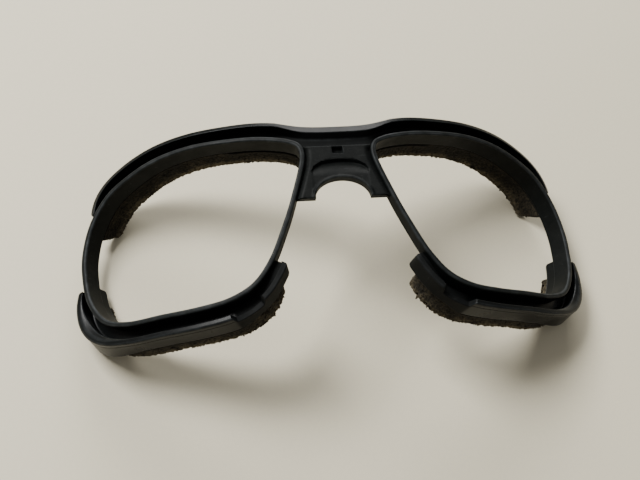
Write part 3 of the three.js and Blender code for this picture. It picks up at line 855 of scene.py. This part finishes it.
class GOGGLES_OT_cheek_lips(bpy.types.Operator):
    """Makes the cheek lips: a beaded wall from the outer corner, past a notch, to the tab beside the nose"""
    bl_idname = "goggles.cheek_lips"
    bl_label = "Cheek lips"
    PITCH = 0.00016
    DROP = 0.00035  # half the stretch over which the lip drops into its notch
    TIP, TIP_DROP, TIP_INSET = 0.0016, 0.0008, 0.0012  # rounding of the end of the tab
    TAB_DROP, TAB_RISE, TAB_RISE_MORE, TAB_RISE_END = 0.0002, 0.0009, 0.0014, 0.012
    FLARE_POWER, LEAST_FLOOR = 1.3, 0.0006
    LINE_DEPTH, LINE_BELOW_TOP, LINE_WIDTH, LINE_CUT = 0.0014, 0.0006, 0.0004, 0.00013
    END_ROUND = 0.0005

    def execute(self, context):
        s = context.scene.goggles_frame
        view = FrontView(s)
        shares = view.stations(LIP_START, LIP_END, self.PITCH)
        run = (shares - LIP_START) * view.length
        left = run[-1] - run
        touch = s.rim_wall / 2 - TOUCH
        front = lip_reach(s, shares)
        bulge = corner_bulge(shares)
        flare = s.corner_flare * bulge
        deep = np.maximum(lip_depths(s, shares), s.rim_depth + BEHIND_RIM)

        def outside(depth):
            return front + flare * np.clip(depth / s.lip_depth, 0, 1) ** self.FLARE_POWER

        def inside(depth):
            return np.maximum(outside(depth) - s.lip_wall, touch + 0.0001)

        edge = self.DROP / view.length
        notch = smooth(NOTCH_START - edge, NOTCH_START + edge, shares)
        notch *= 1 - smooth(NOTCH_END - edge, NOTCH_END + edge, shares)
        tab = smooth(NOTCH_END - edge, NOTCH_END + edge, shares)
        tip = np.clip(1 - left / self.TIP, 0, 1)
        rounded = 1 - np.sqrt(1 - tip ** 2)
        top = s.lip_notch * notch + self.TAB_DROP * tab
        top = top + self.TIP_DROP * rounded
        floor_front = s.rim_depth - s.floor_thick
        risen = smooth(NOTCH_END, LIP_END - self.TAB_RISE_END, shares)
        rise = tab * (self.TAB_RISE + self.TAB_RISE_MORE * risen)
        floor = np.minimum(floor_front - rise, s.rim_depth - self.LEAST_FLOOR)
        foot = np.maximum(inside(floor) - s.corner_slope * bulge, touch + 0.0003)
        shoulder = np.maximum(inside(top) - 0.00008 - s.shoulder * bulge, touch + 0.0004)
        line = np.maximum(self.LINE_DEPTH, top + self.LINE_BELOW_TOP)
        cut = self.LINE_CUT * (1 - notch) * (1 - tab)
        corners = section_of(
            (outside(top), top), (outside(line), line), (outside(line + 0.0002) - cut, line + 0.00018),
            (outside(line + self.LINE_WIDTH), line + self.LINE_WIDTH), (outside(deep), deep),
            (inside(deep), deep), (inside(s.rim_depth), s.rim_depth),
            (touch, s.rim_depth), (touch, floor), (foot, floor),
            (shoulder, top + 0.00004 + s.shoulder_drop * bulge), (inside(top), top))
        radii = (0.00065, 0.0001, 0.0001, 0.0001, 0.0004, 0.0003,
                 0.0003, 0.0001, 0.0001, 0.0006, 0.0004, 0.00045)
        section = filleted(corners, radii)
        # Pale edge marks: worn edges and a painted highlight, cut back in the notch and on the tab.
        handled_and_highlit = wear_and_highlight_marks((1, 0.2, 0, 0.2, 0.7, 0, 0, 0, 0, 0, 0.6, 0.8))
        marks = handled_and_highlit * (1 - 0.9 * notch - 0.6 * tab)[:, None]
        drawn = self.TIP_INSET * rounded
        outwards = np.clip((section[..., 0] - touch) / (front - touch)[:, None], 0, 1)
        section[..., 0] -= outwards * drawn[:, None]
        section = ends_rounded(section, np.minimum(run, left), self.END_ROUND)
        both_sides("cheek_lip", "flange_plastic", view, shares, section, satin_plastic(), marks,
                   matte=notch + tab)
        return {"FINISHED"}


class GOGGLES_OT_corner_skirts(bpy.types.Operator):
    """Makes the corner skirts, which close the outer corners behind the rims"""
    bl_idname = "goggles.corner_skirts"
    bl_label = "Corner skirts"
    PITCH, FILLET_STEPS, END_ROUND = 0.0002, 5, 0.0004
    END_LENGTH, END_RISE = 0.0012, 0.0011  # how the back of a skirt rises at its ends

    def execute(self, context):
        s = context.scene.goggles_frame
        view = FrontView(s)
        shares = view.stations(SKIRT_START, SKIRT_END, self.PITCH)
        run = (shares - SKIRT_START) * view.length
        near = np.minimum(run, run[-1] - run)
        inner = -s.rim_wall / 2 + 0.00008
        outer = inner + s.skirt_wall - 0.0001
        front, back = s.rim_depth - 0.0001, s.rim_depth + s.gap + s.skirt_depth
        corners = section_of(
            (inner, front), (outer, front), (outer, np.full(len(shares), back)), (inner, back))
        section = filleted(corners, (0.0001, 0.0001, 0.0004, 0.0004), self.FILLET_STEPS)
        drop = np.clip(1 - near / self.END_LENGTH, 0, 1)[:, None]
        low = (section[..., 1] - front) / (back - front)
        section[..., 1] -= low * self.END_RISE * (1 - np.sqrt(1 - drop ** 2))
        section = ends_rounded(section, near, self.END_ROUND)
        # Pale marks on the back edges: worn edges and a painted highlight.
        marks = wear_and_highlight_marks((0, 0, 0.4, 1), self.FILLET_STEPS)
        both_sides("corner_skirt", "frame_plastic", view, shares, section, matte_plastic(), marks)
        return {"FINISHED"}


def loop_points(corners, pitch):
    """Even points round a closed outline, with every corner kept."""
    points = []
    for a, b in zip(corners, np.roll(corners, -1, 0)):
        count = max(1, math.ceil(np.linalg.norm(b - a) / pitch))
        points.append(a + (b - a) * np.arange(count)[:, None] / count)
    return np.concatenate(points)


def away(points, outline):
    """Distance of each point from a closed outline."""
    start, side = outline, np.roll(outline, -1, 0) - outline
    out = np.full(len(points), 1.0)
    for a, v in zip(start, side):
        t = np.clip(((points - a) @ v) / max(v @ v, 1e-18), 0, 1)
        out = np.minimum(out, np.linalg.norm(points - a - t[:, None] * v, axis=1))
    return out


def inside_of(points, outline):
    hit = np.zeros(len(points), bool)
    for (x0, y0), (x1, y1) in zip(outline, np.roll(outline, -1, 0)):
        if y0 == y1:
            continue
        crosses = (points[:, 1] < y0) != (points[:, 1] < y1)
        hit ^= crosses & (points[:, 0] < x0 + (points[:, 1] - y0) * (x1 - x0) / (y1 - y0))
    return hit


def drawn_in(outline, distance):
    """A closed outline, drawn counter-clockwise, moved inwards."""
    before, after = outline - np.roll(outline, 1, 0), np.roll(outline, -1, 0) - outline
    normal = sum(np.stack([-v[:, 1], v[:, 0]], -1) / np.linalg.norm(v, axis=1)[:, None]
                 for v in (before, after))
    normal /= np.maximum(np.linalg.norm(normal, axis=1)[:, None], 1e-9)
    return outline + normal * distance


class GOGGLES_OT_bridge_plate(bpy.types.Operator):
    """Makes the bridge plate: a ledge, a blind slot, a crescent step and a raised lip round the nose arch"""
    bl_idname = "goggles.bridge_plate"
    bl_label = "Bridge plate"
    PITCH, OUTLINE_PITCH, SLOT_PITCH, ARC_STEPS = 0.00032, 0.00025, 0.0002, 110
    # Where extra lines of corners follow the outline, the slot, the crescent and the arch
    ALONG_OUTLINE = (0.00005, 0.00012, 0.00022, 0.00036, 0.00055)
    ALONG_SLOT = (0.00004, 0.00016, -0.00006, -0.00014, -0.00026)
    ALONG_CRESCENT = (-0.0003, -0.00016, -0.00004, 0.00008)
    ALONG_ARCH = (0.00075, 0.0009, 0.00105)
    REACH_ACROSS, REACH_UP = 0.0125, 0.017  # ground the even corners cover
    EDGE_ROUND, BACK_ROUND, SLOT_ROUND, SLOT_CORNER = 0.00032, 0.0003, 0.00022, 0.00035

    def execute(self, context):
        s, b = context.scene.goggles_frame, context.scene.goggles_bridge
        view = FrontView(s)
        outline = self.outline(view, s, b)
        slot = self.slot(b)
        loops = [outline, slot]
        cover = [drawn_in(outline, d) for d in self.ALONG_OUTLINE]
        cover += [drawn_in(slot, d) for d in self.ALONG_SLOT]
        cover += [self.ellipse(b.recess_half_width, b.recess_top + d, b.arch_top + b.lip_width + 0.001,
                               self.ARC_STEPS) for d in self.ALONG_CRESCENT]
        cover += [self.ellipse(b.arch_half_width + d, b.arch_top + d, b.foot, self.ARC_STEPS)
                  for d in self.ALONG_ARCH]
        fixed = np.concatenate(loops)
        guides = np.concatenate(cover)
        guides = guides[inside_of(guides, outline)]
        guides = guides[(away(guides, outline) > 0.00003) & (away(guides, slot) > 0.00002)]
        across = np.arange(-self.REACH_ACROSS, self.REACH_ACROSS, self.PITCH)
        grid = np.stack(np.meshgrid(across, np.arange(0, self.REACH_UP, self.PITCH)), -1)
        grid[1::2, :, 0] += self.PITCH / 2
        grid = grid.reshape(-1, 2)
        grid = grid[inside_of(grid, outline)]
        grid = grid[(away(grid, outline) > 0.0005) & (away(grid, slot) > 0.0003)]
        near = np.array([np.min(np.sum((guides - p) ** 2, 1)) for p in grid])
        grid = grid[near > (0.4 * self.PITCH) ** 2]
        flat = np.concatenate([fixed, guides, grid])
        edges, start = [], 0
        for loop in loops:
            edges += [(start + i, start + (i + 1) % len(loop)) for i in range(len(loop))]
            start += len(loop)
        scaled = [Vector(p) for p in (flat * 1000).tolist()]
        verts, _, tris, *_ = geometry.delaunay_2d_cdt(scaled, edges, [], 0, 1e-5)
        flat = np.array([tuple(v) for v in verts]) / 1000
        tris = np.array([t for t in tris if len(t) == 3])
        middle = flat[tris].mean(1)
        tris = tris[inside_of(middle, outline)]
        front, marks, matte = self.relief(flat, outline, slot, s, b)
        rim = away(flat, outline)
        back = s.front_height - b.set_back - b.thick + self.rounding(rim, self.BACK_ROUND)
        count = len(flat)
        up = shift_up()
        points = np.concatenate([
            np.column_stack([flat[:, 0], flat[:, 1] + up, front]),
            np.column_stack([flat[:, 0], flat[:, 1] + up, back])])
        faces = tris.tolist() + (tris[:, ::-1] + count).tolist()
        pairs = np.sort(np.concatenate([tris[:, [0, 1]], tris[:, [1, 2]], tris[:, [2, 0]]]), 1)
        unique, times = np.unique(pairs, axis=0, return_counts=True)
        faces += [[a, c, c + count, a + count] for a, c in unique[times == 1].tolist()]
        mesh = new_mesh("bridge_plate_shell", points, faces, edge=np.concatenate([marks, marks * 0]),
                        matte=np.concatenate([matte, matte * 0]))
        plate = linked("bridge_plate_shell", mesh)
        mesh.materials.append(matte_plastic())
        tidied(mesh, 50)
        settle(plate, "frame_plastic", "bridge_plate")
        return {"FINISHED"}

    def ellipse(self, half_width, top, foot, steps):
        turn = np.linspace(0, math.pi, steps + 1)
        return np.stack([half_width * np.cos(turn), foot + (top - foot) * np.sin(turn)], -1)

    def outline(self, view, s, b):
        edge = view.at(np.linspace(LIP_END, 1, 400), s.rim_wall / 2 - 0.0001)
        rows = np.linspace(b.foot, b.top, 90)
        order = np.argsort(edge[:, 1])
        side = np.column_stack([np.interp(rows, edge[order, 1], edge[order, 0]), rows])
        other = side[::-1] * (-1, 1)
        arch = self.ellipse(b.arch_half_width, b.arch_top, b.foot, 96)[::-1]
        return loop_points(np.vstack([side, other, arch]), self.OUTLINE_PITCH)

    def slot(self, b, steps=6):
        half, radius = np.array([b.slot_width, b.slot_height]) / 2, self.SLOT_CORNER
        corners = []
        for quarter, (sx, sy) in enumerate(((1, 1), (-1, 1), (-1, -1), (1, -1))):
            turn = (quarter + np.linspace(0, 1, steps + 1)) * math.pi / 2
            centre = (half - radius) * (sx, sy)
            corners.append(centre + radius * np.stack([np.cos(turn), np.sin(turn)], -1))
        return loop_points(np.concatenate(corners) + (0, b.top - b.slot_drop), self.SLOT_PITCH)

    def rounding(self, distance, radius):
        near = np.clip(radius - distance, 0, radius)
        return radius - np.sqrt(radius ** 2 - near ** 2)

    def relief(self, flat, outline, slot, s, b):
        """Front of the plate: its height, how much each point lies on an edge worn pale and painted as a
        highlight, and how matte it is.
        """
        x, y = flat.T
        rim, hole = away(flat, outline), away(flat, slot)
        height = np.full(len(flat), s.front_height - b.set_back)
        crest = b.arch_top + b.lip_width
        spring = crest + b.recess_spring
        out = np.sqrt(np.clip(1 - (x / b.recess_half_width) ** 2, 0, 1))
        upper = spring + (b.recess_top - spring) * out
        arch_out = np.hypot(x / b.arch_half_width, (y - b.foot) / (b.arch_top - b.foot))
        per_share = np.where(arch_out > 0, np.hypot(x, y - b.foot) / np.maximum(arch_out, 1e-6), 0)
        from_arch = (arch_out - 1) * per_share
        under = smooth(-0.0001, 0.00012, upper - y)
        fade = out ** 0.5
        gone = np.clip((upper - y) / np.maximum(upper - crest, 1e-4), 0, 1)
        height -= b.recess_depth * under * fade * (1 - 0.85 * smooth(0.05, 1.0, gone))
        lip = 1 - smooth(b.lip_width * 0.55, b.lip_width * 1.25, from_arch)
        legs = 0.35 + 0.65 * smooth(0.08, 0.5, (y - b.foot) / (b.arch_top - b.foot))
        height += b.lip_rise * lip * legs
        edge_x = np.interp(y, *self.side_line(outline, b))
        beside = edge_x - np.abs(x)
        groove = (1 - smooth(0, b.groove * 1.7, beside)) * (1 - smooth(-0.0016, -0.0002, y - b.top))
        height -= b.groove_depth * groove
        sunk = inside_of(flat, slot)
        height -= self.rounding(rim, self.EDGE_ROUND) * smooth(0.0002, 0.0006, beside)
        sides = self.rounding(hole, self.SLOT_ROUND)
        height -= np.where(sunk, b.slot_depth * smooth(0, 0.00004, hole), sides)
        # Pale marks along the plate's edges, the slot and the arch lip: worn edges and a painted highlight.
        marks = np.maximum(1 - rim / 0.0003, 0) * (beside > 0.0008) + 0.5 * np.maximum(1 - hole / 0.0002, 0)
        marks += 0.6 * (1 - smooth(0, b.lip_width, from_arch)) * legs
        return height, np.clip(marks, 0, 1), np.clip(groove * 1.6, 0, 1)

    def side_line(self, outline, b):
        right = outline[(outline[:, 0] > b.arch_half_width) & (outline[:, 1] < b.top - 1e-6)]
        order = np.argsort(right[:, 1])
        return right[order, 1], right[order, 0]


class GOGGLES_OT_film(bpy.types.Operator):
    """Gives the adhesive film between plastic and foam its finish"""
    bl_idname = "goggles.film"
    bl_label = "Adhesive film"

    def execute(self, context):
        for name, node in frame["nodes"].items():
            if name.startswith("film_"):
                node.data.materials.clear()
                node.data.materials.append(film_material("Adhesive film"))
        return {"FINISHED"}


class GOGGLES_OT_foam(bpy.types.Operator):
    """Makes the four worn foam strips, with their open cells and crumbled edges"""
    bl_idname = "goggles.foam"
    bl_label = "Foam strips"
    BROW_CRUMBLING, CHEEK_CRUMBLING = 0.3, 1.0
    CAP_ROUND, CAP_STEPS = 0.0009, 14
    SLOW, FINE, TORN, FINEST = 260, 1900, 800, 2300  # waves of the worn faces in a metre

    def execute(self, context):
        s, f = context.scene.goggles_frame, context.scene.goggles_foam
        view = FrontView(s)
        for label, side in SIDES:
            self.strip(view, side, f"foam_brow_{label}", BROW_FOAM, self.brow_sides, self.brow_front,
                       self.BROW_CRUMBLING, f.slant, 0)
            self.strip(view, side, f"foam_cheek_{label}", CHEEK_FOAM, self.cheek_sides, self.cheek_front,
                       self.CHEEK_CRUMBLING, 0, f.nub)
        return {"FINISHED"}

    def brow_front(self, s, shares):
        slit = bpy.context.scene.goggles_foam.slit
        return s.rim_depth + slit * (1 - smooth(SLIT_END - SLIT_RUN_OUT, SLIT_END, shares))

    def cheek_front(self, s, shares):
        return np.maximum(lip_depths(s, shares), s.rim_depth + BEHIND_RIM)

    def brow_sides(self, s, f, shares):
        return np.full(len(shares), -s.rim_wall / 2), flange_reach(s, shares)

    def cheek_sides(self, s, f, shares):
        behind = 1 - smooth(*(SKIRT_END + clear for clear in SKIRT_CLEAR), shares)
        inner = (s.skirt_wall + s.gap) * behind - s.rim_wall / 2
        return inner, lip_reach(s, shares) - f.nose_inset * smooth(NOTCH_START, CHEEK_FOAM[1], shares)

    def strip(self, view, side, name, span, sides, plastic_back, crumbling, slant, nub):
        s, f = view.sizes, bpy.context.scene.goggles_foam
        shares = view.stations(*span, f.pitch)
        inner, outer = sides(s, f, shares)
        front = plastic_back(s, shares) + 0.00005
        roof = front + s.gap + f.film_thick
        pocket = f.film_inset + 0.0001
        corners = section_of(
            (inner, front), (inner, f.back), (outer, f.back), (outer, front), (outer - pocket, front),
            (outer - pocket, roof), (inner + pocket, roof), (inner + pocket, front))
        tall, wide = f.back - float(np.min(front)), float(np.mean(outer - inner))
        counts = [round(tall / f.pitch), round(wide / f.pitch), round(tall / f.pitch), 4, 3, 10, 3, 4]
        section, open_to_air = [], []
        for i, count in enumerate(counts):
            t = np.arange(count) / count
            a, b = corners[:, i], corners[:, (i + 1) % len(counts)]
            section.append(a[:, None] + (b - a)[:, None] * t[None, :, None])
            open_to_air += [i < 3] * count
        section = np.concatenate(section, 1)
        section, shares, ends = self.capped(section, shares, view.length, self.CAP_ROUND)
        behind = (section[..., 1] - s.rim_depth) / (f.back - s.rim_depth)
        leaning = smooth(span[1] - 0.06, span[1], shares)[:, None] * slant / view.length
        outer_side = np.clip((section[..., 0] - s.rim_wall) / (s.lip_tab_reach - s.rim_wall), 0, 1)
        swelling = smooth(span[1] - 0.09, span[1] - 0.02, shares)[:, None] * smooth(0.1, 0.9, behind)
        section[..., 0] += nub * swelling * outer_side
        points = view.swept(shares[:, None] + leaning * (0.5 - behind), section)
        points[..., 0] *= side
        outward = (view.at(shares, 1) - view.at(shares, 0)) * (side, 1)
        pulled, pits, loose = self.worn(points, section, outward, np.array(open_to_air), shares, span, f,
                                        crumbling, ends)
        stations, around = section.shape[:2]
        foam = wrapped(name + "_worn", pulled, ring_faces(stations, around, False),
                       foam_material(FOAM_FINISH), 180, pit=pits, loose=loose)
        settle(foam, "seal_foam", name)

    def capped(self, section, shares, whole, radius):
        """Adds rings that close both ends of a strip with a rounded edge."""
        middle = (section.min(1, keepdims=True) + section.max(1, keepdims=True)) / 2
        t = np.linspace(0, 1, self.CAP_STEPS)[1:]
        half = float(np.min(section[0].max(0) - section[0].min(0))) / 2
        near = np.minimum(t * half, radius)
        along = (np.sqrt(radius ** 2 - (radius - near) ** 2) - radius) / whole
        keep = (1 - t * 0.94)[:, None, None]
        head = (middle[0] + (section[0] - middle[0]) * keep)[::-1]
        tail = middle[-1] + (section[-1] - middle[-1]) * keep
        trimmed = radius / whole
        inner = (shares - shares[0]) / (shares[-1] - shares[0]) * (shares[-1] - shares[0] - 2 * trimmed)
        body = shares[0] + trimmed + inner
        before = (body[0] - trimmed - along)[::-1]
        after = body[-1] + trimmed + along
        ends = np.concatenate([np.ones(len(t)), np.zeros(len(shares)), np.ones(len(t))])
        return np.concatenate([head, section, tail]), np.concatenate([before, body, after]), ends

    def worn(self, points, section, outward, open_to_air, shares, span, f, crumbling, ends):
        """Wavy, pitted and ragged foam: moved points, how deep each lies in a cell, which paints shade there,
        and how loose it is.
        """
        along = np.roll(section, -1, 1) - np.roll(section, 1, 1)
        size = np.maximum(np.linalg.norm(along, axis=-1, keepdims=True), 1e-9)
        out = np.stack([along[..., 1], -along[..., 0]], -1) / size
        low, high = section.min(1, keepdims=True), section.max(1, keepdims=True)
        inwards = np.sum(out * (section - (low + high) / 2), axis=(1, 2)) < 0
        out[inwards] *= -1
        behind = np.clip((section[..., 1] - low[..., 1]) / (high - low)[..., 1], 0, 1)
        aside = np.minimum(section[..., 0] - low[..., 0], high[..., 0] - section[..., 0])
        corner = (1 - np.clip(aside / 0.0012, 0, 1)) * smooth(0.55, 1.0, behind)
        toward_tip = smooth(span[0] + (span[1] - span[0]) * 0.55, span[1], shares)[:, None]
        grow = np.minimum(1, behind * 6 + ends[:, None]) * open_to_air
        shape = points.shape[:2]
        cell, slow, fine, ragged = (np.zeros(shape) for _ in range(4))
        step = np.zeros(points.shape)
        noise.seed_set(f.seed)  # noise vectors follow the clock until they are seeded
        for i, j in np.argwhere(grow > 0).tolist():
            p = Vector(points[i, j])
            cell[i, j] = noise.voronoi(p / f.cell_size)[0][0]
            slow[i, j] = noise.noise(p * self.SLOW)
            fine[i, j] = noise.noise(p * self.FINE)
            torn = noise.noise(p * self.TORN + Vector((9.1, 3.7, 5.3)))
            ragged[i, j] = 0.6 * torn + 0.9 * noise.noise(p * self.FINEST)
            step[i, j] = noise.noise_vector(p * self.FINEST)
        cell = np.clip(1 - cell * 1.9, 0, 1)
        amount = corner * (0.15 + crumbling * (0.25 + 1.1 * toward_tip))
        pull = 0.00007 * fine - f.cells * cell - f.sag * (0.25 + 0.25 * slow)
        pull = pull - f.rag * amount * (0.45 - 0.8 * ragged)
        shift = out * (pull * grow)[..., None]
        moved = points + step * ((0.00012 + 0.00016 * crumbling * behind) * grow)[..., None]
        moved[..., :2] += outward[:, None] * shift[..., :1]
        moved[..., 2] += shift[..., 1]
        loose = np.clip(0.15 + 0.5 * crumbling * behind + corner, 0, 1) * grow
        return moved, np.clip(cell * 1.3, 0, 1), loose


class GOGGLES_OT_foam_crumbs(bpy.types.Operator):
    """Scatters torn crumbs over the worn faces of the foam strips"""
    bl_idname = "goggles.foam_crumbs"
    bl_label = "Foam crumbs"

    def execute(self, context):
        f = context.scene.goggles_foam
        for index, (where, label) in enumerate((w, l) for w in ("brow", "cheek") for l, _ in SIDES):
            foam = bpy.data.objects[f"foam_{where}_{label}_worn"]
            mesh = grown(foam, crumb_tree("Torn crumbs"), Density=f.crumbs * PER_SQUARE_MM,
                         Smallest=f.crumb_small, Largest=f.crumb_large, Seed=f.seed + index,
                         Material=foam_material(FOAM_FINISH))
            self.lifted(mesh)
            name = f"foam_crumbs_{where}_{label}"
            mesh.name = name
            settle(linked(name, mesh), "seal_foam")
        return {"FINISHED"}

    def lifted(self, mesh):
        """Presses crumbs that reach under the ground flat against it."""
        for corner in mesh.vertices:
            corner.co.z = max(corner.co.z, 0.0)


def table_material():
    finish = bpy.context.scene.goggles_finish
    material, tree, shader = started("Pale table top")
    where = object_place(tree, 1)
    cloud = ranged(tree, texture(tree, where, 9, 4), 0.3, 0.7)
    speck = ranged(tree, texture(tree, where, 900, 3), 0.35, 0.65)
    tone = maths(tree, "ADD", maths(tree, "MULTIPLY", cloud, 0.6), maths(tree, "MULTIPLY", speck, 0.4))
    pale = [min(1.0, v * 1.025) for v in finish.table]
    dull = [v * 0.975 for v in finish.table]
    tree.links.new(blended(tree, tone, (*dull, 1), (*pale, 1)), shader["Base Color"])
    tree.links.new(ranged(tree, cloud, 0, 1, 0.55, 0.68), shader["Roughness"])
    bumped(tree, shader, texture(tree, where, 1400, 3), 0.12, 0.00005)
    return material


class GOGGLES_OT_stage(bpy.types.Operator):
    """Makes the table, the soft lights and the camera"""
    bl_idname = "goggles.stage"
    bl_label = "Stage"
    TABLE_HALF = 1.5
    WINDOW, WINDOW_SIZE, WINDOW_TINT = (0.12, 1.15, 0.45), 0.7, (1.0, 0.99, 0.97)
    BESIDE, BESIDE_SIZE, BESIDE_TINT = (-0.48, 0.42, 0.74), 0.42, (1.0, 0.995, 0.98)
    ROOM_TINT = (1.0, 0.985, 0.96, 1)
    CAMERA, CAMERA_TURN = (-0.0440, -0.1189, 0.2168), (26.91, -6.21, -6.65)  # from the bridge, in degrees

    def execute(self, context):
        stage = context.scene.goggles_stage
        half = self.TABLE_HALF
        mesh = new_mesh("table_top", [(-half, -half, 0), (half, -half, 0), (half, half, 0), (-half, half, 0)],
                        [(0, 1, 2, 3)])
        mesh.materials.append(table_material())
        linked("table_top", mesh)
        self.light("window_light", stage.key, self.WINDOW, self.WINDOW_SIZE, self.WINDOW_TINT)
        self.light("side_light", stage.side, self.BESIDE, self.BESIDE_SIZE, self.BESIDE_TINT)
        world = bpy.data.worlds.new("Room")
        world.use_nodes = True
        sky = world.node_tree.nodes["Background"].inputs
        sky["Color"].default_value = self.ROOM_TINT
        sky["Strength"].default_value = stage.fill
        context.scene.world = world
        camera = bpy.data.cameras.new("camera")
        camera.lens, camera.sensor_width = stage.lens, 36
        camera.clip_start, camera.clip_end = 0.01, 10
        holder = linked("camera", camera)
        x, y, z = self.CAMERA
        holder.location = (x, shift_up() + y, z + context.scene.goggles_frame.front_height)
        holder.rotation_euler = [math.radians(v) for v in self.CAMERA_TURN]
        context.scene.camera = holder
        return {"FINISHED"}

    def light(self, name, power, place, size, tint):
        lamp = bpy.data.lights.new(name, "AREA")
        lamp.energy, lamp.size, lamp.color = power, size, tint
        holder = linked(name, lamp)
        holder.location = place
        holder.rotation_euler = (-Vector(place)).to_track_quat("-Z", "Y").to_euler()


STEPS = (
    GOGGLES_OT_rims, GOGGLES_OT_brow_flange, GOGGLES_OT_cheek_lips, GOGGLES_OT_corner_skirts,
    GOGGLES_OT_bridge_plate, GOGGLES_OT_film, GOGGLES_OT_foam, GOGGLES_OT_foam_crumbs, GOGGLES_OT_stage,
)
SETTINGS = (
    ("goggles_frame", GogglesFrameSizes), ("goggles_bridge", GogglesBridgeSizes),
    ("goggles_foam", GogglesFoamSizes), ("goggles_finish", GogglesFinish), ("goggles_stage", GogglesStage),
)


class GOGGLES_PT_insert(bpy.types.Panel):
    """Lists the pieces of the goggle insert"""
    bl_label = "Goggle insert"
    bl_idname = "GOGGLES_PT_insert"
    bl_space_type = "VIEW_3D"
    bl_region_type = "UI"
    bl_category = "Goggle insert"

    def draw(self, context):
        for step in STEPS:
            self.layout.operator(step.bl_idname)
        for name, kind in SETTINGS:
            box = self.layout.box()
            for field in kind.__annotations__:
                box.prop(getattr(context.scene, name), field)


def register():
    for name, kind in SETTINGS:
        bpy.utils.register_class(kind)
        setattr(bpy.types.Scene, name, PointerProperty(type=kind))
    for kind in (*STEPS, GOGGLES_PT_insert):
        bpy.utils.register_class(kind)


def unregister():
    for kind in reversed((*STEPS, GOGGLES_PT_insert)):
        bpy.utils.unregister_class(kind)
    for name, kind in reversed(SETTINGS):
        delattr(bpy.types.Scene, name)
        bpy.utils.unregister_class(kind)


def main():
    register()
    for step in STEPS:
        family, name = step.bl_idname.split(".")
        getattr(getattr(bpy.ops, family), name)()


if __name__ == "__main__":
    main()
